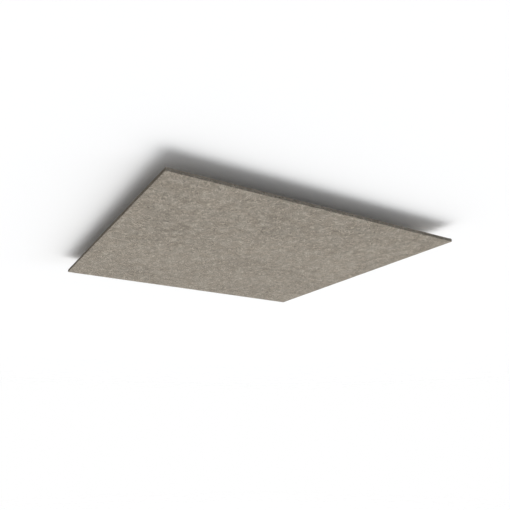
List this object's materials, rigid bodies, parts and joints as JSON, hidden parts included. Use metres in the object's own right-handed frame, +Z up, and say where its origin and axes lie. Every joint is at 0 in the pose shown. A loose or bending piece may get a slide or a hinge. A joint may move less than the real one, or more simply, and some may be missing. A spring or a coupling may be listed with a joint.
{
  "type": "suspended ceiling tile",
  "caption": "Square acoustic ceiling tile: a thin board of grey-beige felt, hung face down from threaded sockets screwed to its back.",
  "frame": {"origin": "centre of the visible face, which is the lower one when the tile hangs", "axes": "+Z up from the visible face to the back, X and Y along the edges of the square"},
  "size_m": [1.2, 1.2, 0.022],
  "materials": {
    "felt": "matte pressed felt with a fine fibre melange",
    "zinc_steel": "satin zinc plating",
    "screw_steel": "bright zinc plating"
  },
  "bodies": {
    "root": {"felt_board": "felt", "hanger_socket_1": "zinc_steel", "hanger_socket_2": "zinc_steel", "hanger_socket_3": "zinc_steel", "hanger_socket_4": "zinc_steel", "socket_screws": "screw_steel"}
  },
  "joints": []
}
